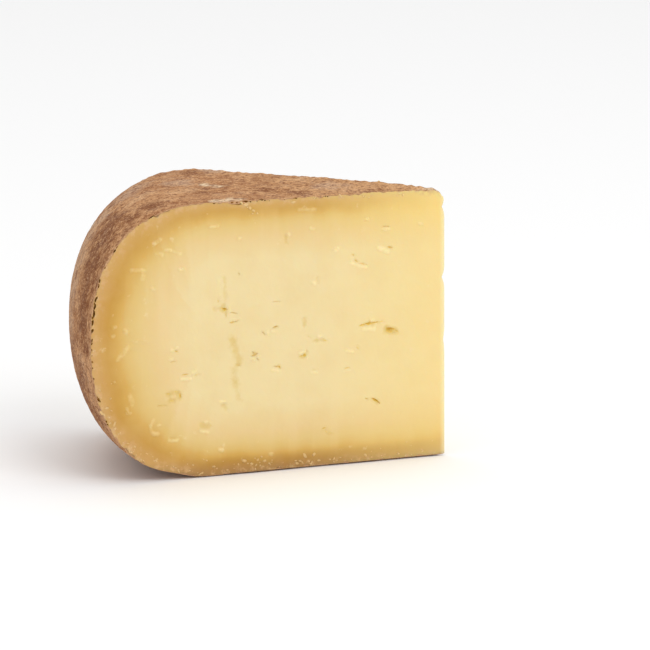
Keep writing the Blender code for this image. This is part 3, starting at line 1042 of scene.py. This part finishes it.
def cut_pits(piece, finish):
    """Cuts the dark pits that lie along the line between rind and paste, as body and one end."""
    piece.data.materials.append(finish)
    draw = random.Random(PIT_SEED)
    ahead = [rim_pit(*pit) for pit in RIM_PITS] + list(stray_pits(*FRONT_STRAYS, draw))
    behind = list(stray_pits(*BACK_STRAYS, draw))
    for side, pits in ((FRONT, ahead), (BACK, behind)):
        halves = [lobe for pit in pits for lobe in list(lobes(pit, draw))[:2]]
        cut_eyes(piece, side, halves, tuple(piece.data.materials))


def drop_slivers(piece):
    """Deletes the flat scraps that the cuts leave beside the body."""
    lowest = min(piece.data.vertices, key=lambda vert: vert.co.z).index
    edit(piece)
    pick(piece, "VERT", lambda vert: vert.index == lowest)
    bpy.ops.mesh.select_linked()
    bpy.ops.mesh.select_all(action="INVERT")
    bpy.ops.mesh.delete(type="VERT")
    leave()


def store_depth(piece, rim):
    """Stores how deep each vertex lies below the rind, for the paste's colour bands."""
    depths = []
    for vert in piece.data.vertices:
        nearest, _, depth = rim.find(section_place(vert.co))
        thin = TOP_THIN if nearest.z > GIRTH_HEIGHT else BASE_THIN
        depths.append(depth * (1 + thin * clipped((FLAT_RADIUS - nearest.x) / FLAT_FADE)))
    store(piece, "depth", depths)


def store_tone(piece, side_marks):
    """Stores where the paste is pressed, and shows golden with painted shade, and where it is
    raised and paler with a painted highlight.
    """
    tree = vertex_tree(piece)
    tones = [0.0] * len(piece.data.vertices)
    for side, mark in side_marks:
        start = on_face(side, mark.out, mark.up)
        end = on_face(side, mark.end_out, mark.end_up)
        strength = max(-1.0, min(1.0, mark.depth / TONE_DEPTH))
        length = (end - start).length
        for place, index, _ in tree.find_range((start + end) / 2, length / 2 + mark.reach):
            share = (place - start).dot(end - start) / length**2 if length else 0.0
            nearest = start.lerp(end, clipped(share))
            tones[index] += strength * fading((place - nearest).length, mark.reach)
    store(piece, "tone", tones)


def make_paste(paste_finish, eye_finish, pit_finish):
    paste, rim = paste_body()
    finishes = (paste_finish, eye_finish)
    for material in finishes:
        paste.data.materials.append(material)
    weigh(paste, "cut", cut_weight)
    roughen(paste, *WIRE_DRAG, "cut")
    features = (FRONT_EYES, FRONT_MARKS, FRONT_STAINS)
    faces = ((FRONT, *features), (BACK, *map(turned_over, features)))
    side_marks = []
    for side, eyes, marks, stains in faces:
        pressed = marks + funnels(eyes)
        press_marks(paste, side, pressed)
        side_marks += [(side, mark) for mark in pressed + stains]
    chip_tip(paste)
    for side, eyes, _, _ in faces:
        cut_eyes(paste, side, eyes + EDGE_NICKS if side == FRONT else eyes, finishes)
    cut_pits(paste, pit_finish)
    drop_slivers(paste)
    store_depth(paste, rim)
    store(paste, "sinking", [off_cuts(vert.co - TIP) for vert in paste.data.vertices])
    store_tone(paste, side_marks)
    smooth(paste, PASTE_SMOOTH)
    return paste, rim


# ======== the rind
def rind_body():
    """Outside and lining of the rind, joined along the two cuts."""
    outside = half_section("rind", RIND_INSET, RIND_CELLS)
    spin_section(outside, RIND_STEPS)
    leave()
    lining = half_section("lining", RIND_INSET + RIND_THICKNESS, RIND_CELLS)
    spin_section(lining, LINING_STEPS)
    leave()
    choose(outside, lining)
    bpy.ops.object.join()
    edit(outside)
    for side in (FRONT, BACK):
        pick_open(outside, side, with_axis=False)
        bpy.ops.mesh.bridge_edge_loops()
    merge_doubles()
    face_outwards()
    leave()
    settle(outside, RIND_FOOT)
    return outside


def on_wheel(patch):
    """A patch's middle: degrees round from the front cut, distance from the axis, height."""
    angle = math.radians(patch.turn) - HALF_ANGLE
    return TIP + Vector((-patch.out * math.cos(angle), patch.out * math.sin(angle), patch.up))


def store_patches(piece, name, patches):
    """Stores how strongly each vertex lies in the rind's patches of one kind."""
    middles = [(on_wheel(patch), patch.reach) for patch in patches]
    shares = []
    for vert in piece.data.vertices:
        nearest = min((vert.co - spot).length / reach for spot, reach in middles)
        shares.append(max(0.0, 1 - nearest))
    store(piece, name, shares)


def far_patches(draw, count, smallest, largest):
    """Patches on the part of the rind behind the middle of the wedge."""
    for _ in range(count):
        up = draw.uniform(FAR_FOOT, WHEEL_HEIGHT)
        out = shoulder_radius(up) if up < FAR_TOP else draw.uniform(*FLAT_SPAN)
        turn = draw.uniform(FAR_TURN, 1.0) * math.degrees(WEDGE_ANGLE)
        if out < FLAT_SPAN[1]:
            up = max(up, FLAT_LEVEL)
        yield Patch(turn, out, up, draw.uniform(smallest, largest))


def wear_rind_tip(piece):
    """Draws the rind's two sharp tips back behind the paste."""
    edit(piece)
    pick(piece, "VERT", lambda vert: radius_of(vert.co) < 10 * NEAR)
    pull((-TIP_WEAR - 2 * RIM_RECESS, 0, 0), TIP_WEAR_REACH)
    pick(piece, "VERT", lambda v: radius_of(v.co) < 2 * TIP_WEAR and v.co.z > GIRTH_HEIGHT)
    pull(CORNER_PULL, CORNER_WEAR_REACH)
    leave()


def rim_closeness(place, reach):
    return fading(off_cuts(place - TIP), reach)


def set_back_rim(piece):
    """Draws the cut rim of the rind back behind the cut faces."""
    for vert in piece.data.vertices:
        for side in (FRONT, BACK):
            close = 1 - off_cut(vert.co - TIP, side) / RIM_RUN
            if close > 0 and radius_of(vert.co) > 0.0012:
                vert.co -= outward(side) * RIM_RECESS * close


def skin_weight(place):
    """The rind's relief fades out at its base, at the tip, on top and a little at the cut rim."""
    lowered = 1 - SKIN_TOP_FADE * (place.z - SKIN_TOP) / SKIN_TOP_RUN
    risen = min(1.0, place.z / SKIN_FOOT, lowered)
    off_tip = min(1.0, radius_of(place) / SKIN_TIP)
    return risen * off_tip * (1 - SKIN_RIM_FADE * rim_closeness(place, SKIN_RIM))


def make_rind(finish, pit_finish):
    rind = rind_body()
    rind.data.materials.append(finish)
    weigh(rind, "skin", skin_weight)
    for relief in (WRINKLE, GRAIN):
        roughen(rind, *relief, "skin", SUNKEN)
    set_back_rim(rind)
    wear_rind_tip(rind)
    cut_pits(rind, pit_finish)
    draw = random.Random(PATCH_SEED)
    for name, patches, *far in PATCHES:
        store_patches(rind, name, patches + tuple(far_patches(draw, *far)))
    store(rind, "rim", [rim_closeness(vert.co, RIM_DARK) for vert in rind.data.vertices])
    smooth(rind, RIND_SMOOTH)
    return rind


# ======== flakes and crumbs
def blank_flake():
    """A small lumpy chip, one unit across, from which all flakes and crumbs are copied."""
    deselect_all()
    bpy.ops.mesh.primitive_ico_sphere_add(subdivisions=2, radius=0.5)
    piece = bpy.context.object
    roughen(piece, *CHIP_LUMPS, octaves=2)
    return piece


def lay(blank, side, flakes, draw, thickness=None):
    """Lays copies of the blank on a cut face. Without a thickness, each is a round crumb."""
    pieces = []
    for flake in flakes:
        piece = blank.copy()
        piece.data = blank.data.copy()
        bpy.context.scene.collection.objects.link(piece)
        thick = thickness or CRUMB_THICKNESS * flake.width
        size = Matrix.Diagonal((flake.length, thick, flake.width, 1))
        spin = Matrix.Rotation(draw.uniform(0, math.tau), 4, "X")
        waviness = wire_wave(on_face(side, flake.out, flake.up) - TIP).dot(outward(side))
        piece.matrix_world = laid_on(side, flake, waviness - CHIP_SUNK * thick) @ size @ spin
        pieces.append(piece)
    return pieces


def ragged(flake, draw):
    """A torn, scraped line as a run of small chips that overlap."""
    if flake.width > flake.length:
        turn = flake.slope + 90
        flake = flake._replace(length=flake.width, width=flake.length, slope=turn)
    count = max(2, round(flake.length / CHIP_SPACING))
    size = max(flake.width, CHIP_WIDTH)
    chips = []
    for number in range(count):
        along = ((number + draw.random()) / count - 0.5) * flake.length
        spot = slid(flake, along, draw.uniform(-0.35, 0.35) * flake.width)
        length = draw.uniform(0.8, 1.3) * size
        width = draw.uniform(0.6, 1.0) * size
        chips.append(Flake(*spot, length, width, flake.slope + draw.uniform(-50, 50)))
    return chips


def rim_crumbs(side, draw):
    """Crumbs close inside the rind, most of them along the base and the outer edge."""
    crumbs = []
    while len(crumbs) < CRUMB_COUNT:
        out = draw.uniform(*CRUMB_SPAN)
        gap = abs(draw.gauss(0, CRUMB_SCATTER)) + CRUMB_GAP
        above = draw.random() > 1 - TOP_CRUMBS and TOP_CRUMB_SPAN[0] < out < TOP_CRUMB_SPAN[1]
        rim = shoulder_height(out, WHEEL_HEIGHT if above else 0)
        up = rim - TOP_CRUMB_GAP * gap if above else rim + gap
        size = CRUMB_SIZE + CRUMB_GROWTH * draw.random() ** 3
        steep = max(0.0, (out - BASE_RADIUS) / (WHEEL_RADIUS - BASE_RADIUS)) ** 2
        up = max(1.4 * size, settled(on_face(side, out, up) - TIP).z)
        out -= (gap + size) * steep
        crumbs.append(Flake(out, up, size * draw.uniform(0.8, 2), size, draw.uniform(-60, 60)))
    return crumbs


def make_crumbs(finish, rim):
    draw = random.Random(CRUMB_SEED)
    blank = blank_flake()
    inner = [flake for flake in FRONT_FLAKES if EDGE_BAND < flake.up < WHEEL_HEIGHT - EDGE_BAND]
    pieces = []
    for flake in FRONT_FLAKES:
        pieces += lay(blank, FRONT, ragged(flake, draw), draw, FLAKE_THICKNESS)
    pieces += lay(blank, FRONT, FRONT_LUMPS, draw)
    for flake in turned_over(inner):
        pieces += lay(blank, BACK, ragged(flake, draw), draw, FLAKE_THICKNESS)
    for side in (FRONT, BACK):
        pieces += lay(blank, side, rim_crumbs(side, draw), draw)
    bpy.data.objects.remove(blank, do_unlink=True)
    crumbs = join(pieces)
    crumbs.name = crumbs.data.name = "crumbs"
    edit(crumbs)
    face_outwards()
    leave()
    crumbs.data.materials.append(finish)
    store_depth(crumbs, rim)
    bpy.ops.object.shade_smooth()
    return crumbs


# ======== finishes
def srgb(red, green, blue):
    """A colour given as it looks on a screen, 0 to 255, for a shader."""
    linear = []
    for value in (red, green, blue):
        share = value / 255
        linear.append(share / 12.92 if share < 0.04045 else ((share + 0.055) / 1.055) ** 2.4)
    return (*linear, 1.0)


class Finish:
    """A material and short names for the nodes that it is mixed from."""

    def __init__(self, name):
        self.material = bpy.data.materials.new(name)
        self.material.use_nodes = True
        self.tree = self.material.node_tree
        self.shader = self.tree.nodes["Principled BSDF"]
        self.place = self.node("TexCoord", "Object", {})

    def node(self, kind, output, inputs, **settings):
        """Adds a node, feeds it, and returns the output of that name, or else the node."""
        node = self.tree.nodes.new("ShaderNode" + kind)
        for name, value in settings.items():
            setattr(node, name, value)
        for name, value in inputs.items():
            self.feed(node.inputs[name], value)
        return node if output is None else node.outputs[output]

    def feed(self, socket, source):
        if isinstance(source, bpy.types.NodeSocket):
            self.tree.links.new(source, socket)
        else:
            socket.default_value = source

    def attribute(self, name):
        return self.node("Attribute", "Fac", {}, attribute_name=name)

    def along(self, axis):
        return self.node("SeparateXYZ", axis, {0: self.place})

    def noise(self, scale, detail=2.0, rough=0.5, twist=0.0, place=None):
        inputs = {"Vector": place or self.place, "Scale": scale, "Detail": detail}
        return self.node("TexNoise", "Fac", {**inputs, "Roughness": rough, "Distortion": twist})

    def math(self, operation, first, second):
        return self.node("Math", 0, {0: first, 1: second}, operation=operation)

    def span(self, value, low, high, to_low=0.0, to_high=1.0):
        inputs = {"Value": value, "From Min": low, "From Max": high}
        return self.node("MapRange", "Result", {**inputs, "To Min": to_low, "To Max": to_high})

    def ramp(self, value, stops, reach=1.0):
        node = self.node("ValToRGB", None, {"Fac": value})
        elements = node.color_ramp.elements
        while len(elements) < len(stops):
            elements.new(0.5)
        for element, (position, colour) in zip(elements, stops):
            element.position = position / reach
            element.color = srgb(*colour)
        return node.outputs["Color"]

    def mix(self, share, first, second):
        inputs = {"Factor": share, 6: first, 7: second}
        return self.node("Mix", 2, inputs, data_type="RGBA", blend_type="MIX")

    def tint(self, colour, tone, value, low, high, least=0.0, most=1.0):
        """Mixes a tone into a colour, from least to most as a value goes from low to high."""
        return self.mix(self.span(value, low, high, least, most), colour, srgb(*tone))

    def bump(self, height, distance, strength=1.0, normal=None):
        inputs = {"Strength": strength, "Distance": distance, "Height": height}
        return self.node("Bump", "Normal", {**inputs, "Normal": normal} if normal else inputs)

    def set(self, **values):
        for name, value in values.items():
            self.feed(self.shader.inputs[name.replace("_", " ")], value)
        return self.material


def paste_colour(finish):
    """Peach and ochre under the rind, paling to cream in the heart, with faint clouds and drags."""
    depth = finish.attribute("depth")
    wander = finish.span(finish.noise(55, 2), 0.3, 0.7, -0.0012, 0.0012)
    share = finish.math("DIVIDE", finish.math("ADD", depth, wander), BAND_REACH)
    colour = finish.ramp(share, BAND_STOPS, BAND_REACH)
    colour = finish.tint(colour, CLOUD, finish.noise(70, 3, 0.55), 0.4, 0.7, 0, 0.2)
    upright = finish.node("Mapping", "Vector", {"Scale": (1, 1, 0.12), "Vector": finish.place})
    drag = finish.span(finish.noise(90, 3, 0.6, place=upright), 0.5, 0.8, 0, 0.3)
    drag = finish.math("MULTIPLY", drag, finish.span(depth, 0.004, 0.022, 0.25, 1.0))
    colour = painted_tip_glow_and_foot_shade(finish, finish.mix(drag, colour, srgb(*DRAG)))
    broken = finish.span(finish.noise(420, 3, 0.6), 0.35, 0.65, -0.15, 0.15)
    tone = finish.math("ADD", finish.attribute("tone"), broken)
    # Painted shade with the paste's golden tone: pressed dents and drags are tinted golden.
    colour = finish.tint(colour, PRESSED, tone, 0.15, 0.9, 0, 0.75)
    # Painted highlight with the lips' own paler tone: raised lips are tinted paler.
    deeper = finish.span(depth, 0.004, 0.030, 0.4, 0.85)
    paler = finish.math("MULTIPLY", finish.span(tone, -0.15, -0.9), deeper)
    colour = finish.mix(paler, colour, srgb(*RAISED))
    smear = finish.math("MULTIPLY", finish.span(depth, 0.0050, 0.0008), 0.75)
    smear = finish.math("MULTIPLY", smear, finish.span(finish.noise(330, 3, 0.65), 0.5, 0.62))
    return finish.mix(smear, colour, srgb(*SMEAR))


def painted_tip_glow_and_foot_shade(finish, colour):
    """The thin end lets light through, painted yellower near the tip and pale along its edge; the
    foot is painted darker for its shade.
    """
    onward, height = finish.along("X"), finish.along("Z")
    colour = finish.tint(colour, UPPER, height, 0.080, 0.100, 0, 0.16)
    # Painted shade: darker towards the foot, where the cut face meets the floor.
    colour = finish.tint(colour, FOOT, height, FOOT_HEIGHT, 0.0005, 0, 0.5)
    # Painted light: yellower in the tip's upper part, and pale along its edge.
    near = finish.span(onward, 0.020, 0.072)
    share = finish.math("MULTIPLY", near, finish.span(height, 0.088, 0.104, 0.5, 0.85))
    colour = finish.mix(share, colour, srgb(*GLOW))
    return finish.tint(colour, TIP_EDGE, onward, 0.0722, 0.0745, 0, 0.6)


def set_waxy(finish, colour, soften, reach, radius):
    """A faint gloss, with light that goes this far into the surface in red, green and blue."""
    finish.set(Base_Color=colour, Roughness=0.46, Specular_IOR_Level=0.35)
    return finish.set(
        Subsurface_Weight=soften, Subsurface_Scale=reach, Subsurface_Radius=radius
    )


def paste_finish():
    finish = Finish("paste")
    scraped = finish.noise(260, 3, 0.6)
    colour = finish.tint(paste_colour(finish), SCRAPE, scraped, 0.66, 0.8, 0, 0.5)
    normal = finish.bump(finish.noise(900, 3, 0.6), 0.00006)
    finish.set(Normal=finish.bump(finish.noise(160, 2, 0.5), 0.0005, 0.5, normal))
    return set_waxy(finish, colour, 0.25, 0.004, (1.0, 0.62, 0.22))


def eye_finish():
    finish = Finish("paste_eye")
    sunk = finish.attribute("sinking")
    # Painted light and shade: the walls turn golden inside the eye for light scattered in the
    # paste, and a darker gold deeper in for its shade.
    golden = finish.tint(srgb(*GOLD), DARK_GOLD, finish.noise(500), 0.35, 0.65)
    golden = finish.tint(golden, DEEP_GOLD, sunk, 0.0004, 0.0014, 0, 0.8)
    colour = finish.mix(finish.span(sunk, 0.0001, 0.0007), paste_colour(finish), golden)
    finish.set(Normal=finish.bump(finish.noise(1200, 2), 0.0001))
    return set_waxy(finish, colour, 0.4, 0.003, (1.0, 0.85, 0.35))


def pit_finish():
    finish = Finish("pit")
    colour = finish.tint(srgb(*PIT_BROWN), PIT_DARK, finish.noise(700), 0.35, 0.65)
    normal = finish.bump(finish.noise(1200, 2), 0.0002)
    return finish.set(Base_Color=colour, Roughness=0.8, Specular_IOR_Level=0.05, Normal=normal)


def crumb_finish():
    finish = Finish("crumb")
    colour = finish.mix(0.5, paste_colour(finish), srgb(*CRUMB))
    finish.set(Normal=finish.bump(finish.noise(1500, 2), 0.0001))
    return set_waxy(finish, colour, 0.2, 0.002, (1.0, 0.7, 0.3))


def rind_patches(finish, colour, broken):
    """Red-brown, grey and pale patches with broken edges, and the cut rim. Grey patches along the
    shoulder are a painted sheen.
    """
    for name, tone, start, share in PATCH_TONES:
        ragged_edge = finish.span(broken, 0.3, 0.7, -0.4, 0.4)
        inside = finish.math("ADD", finish.attribute(name), ragged_edge)
        colour = finish.tint(colour, tone, inside, start, 0.8, 0, share)
    worn = finish.span(broken, 0.3, 0.6, 0.95, 0.55)
    worn = finish.math("MULTIPLY", finish.attribute("rim"), worn)
    return finish.mix(worn, colour, srgb(*CUT_RIM))


def rind_finish():
    finish = Finish("rind")
    patch = finish.noise(95, 4, 0.6, 0.4)
    fleck = finish.noise(420, 4, 0.65, 0.5)
    grain = finish.noise(1150, 2, 0.6)
    crease = finish.node("NewGeometry", "Pointiness", {})
    uneven = finish.math("ADD", patch, finish.noise(28, 3, 0.55, 0.3))
    colour = finish.ramp(finish.span(uneven, 0.72, 1.28), RIND_STOPS)
    colour = finish.tint(colour, RIND_TIP, finish.along("X"), -0.02, 0.06, 0, 0.65)
    colour = rind_patches(finish, colour, finish.noise(190, 4, 0.65, 0.4))
    drivers = {"fleck": fleck, "grain": grain, "crease": crease}
    for name, low, high, share, tone in RIND_SPECKS:
        colour = finish.tint(colour, tone, drivers[name], low, high, 0, share)
    normal = finish.bump(fleck, 0.0005, 0.8, finish.bump(grain, 0.00025))
    rough = finish.span(patch, 0.3, 0.7, 0.82, 0.62)
    finish.set(Base_Color=colour, Roughness=rough, Normal=normal, Specular_IOR_Level=0.07)
    return finish.set(Sheen_Weight=0.03, Sheen_Roughness=0.4)


# ======== the studio
def stage_floor():
    deselect_all()
    bpy.ops.mesh.primitive_plane_add(size=12, location=(0, 2, -0.0004))
    floor = bpy.context.object
    floor.name = "floor"
    finish = Finish("floor")
    finish.set(Base_Color=(0.97, 0.97, 0.97, 1), Roughness=0.9, Specular_IOR_Level=0.1)
    floor.data.materials.append(finish.material)
    floor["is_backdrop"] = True


def area_light(name, place, target, size, power):
    data = bpy.data.lights.new(name, "AREA")
    data.size = size
    data.energy = power
    light = bpy.data.objects.new(name, data)
    light.location = place
    light.rotation_euler = (Vector(target) - Vector(place)).to_track_quat("-Z", "Y").to_euler()
    bpy.context.scene.collection.objects.link(light)


def studio_light():
    world = bpy.data.worlds.new("studio")
    world.use_nodes = True
    background = world.node_tree.nodes["Background"]
    background.inputs["Color"].default_value = (1, 1, 1, 1)
    background.inputs["Strength"].default_value = 0.72
    bpy.context.scene.world = world
    area_light("key", (0.6, -0.9, 1.1), (0, 0, 0.05), 0.8, 6.0)
    area_light("overhead", (0, 0.4, 2.2), (0, 0.2, 0), 2.0, 13)
    bpy.context.scene.view_settings.view_transform = "Standard"


def studio_camera():
    """The camera stands off the tip's foot and is turned so that the wedge lies where it should."""
    level = Vector((math.sin(VIEW_AZIMUTH), math.cos(VIEW_AZIMUTH), 0))
    forward = level * math.cos(VIEW_ELEVATION) - Vector((0, 0, math.sin(VIEW_ELEVATION)))
    right = forward.cross(Vector((0, 0, 1))).normalized()
    up = right.cross(forward)
    aim = (forward * FOCAL_LENGTH - right * TIP_RIGHT + up * TIP_BELOW).normalized()
    side = aim.cross(up).normalized()
    turn = Matrix((side, side.cross(aim), -aim)).transposed()
    data = bpy.data.cameras.new("camera")
    data.sensor_width = SENSOR
    data.lens = FOCAL_LENGTH
    data.clip_end = 50
    camera = bpy.data.objects.new("camera", data)
    camera.matrix_world = turn.to_4x4()
    camera.location = TIP - forward * VIEW_DISTANCE
    bpy.context.scene.collection.objects.link(camera)
    bpy.context.scene.camera = camera


def main():
    pit = pit_finish()
    paste, rim = make_paste(paste_finish(), eye_finish(), pit)
    rind = make_rind(rind_finish(), pit)
    crumbs = make_crumbs(crumb_finish(), rim)
    for piece, slot in ((paste, "paste"), (rind, "rind"), (crumbs, "paste")):
        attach(piece, "root")
        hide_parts("cheese_wedge")
    stage_floor()
    studio_light()
    studio_camera()
    deselect_all()
    boxes = {"cad": cad_box, "visual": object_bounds()}
    sizes = {name: [list(corner) for corner in box] for name, box in boxes.items()}


main()
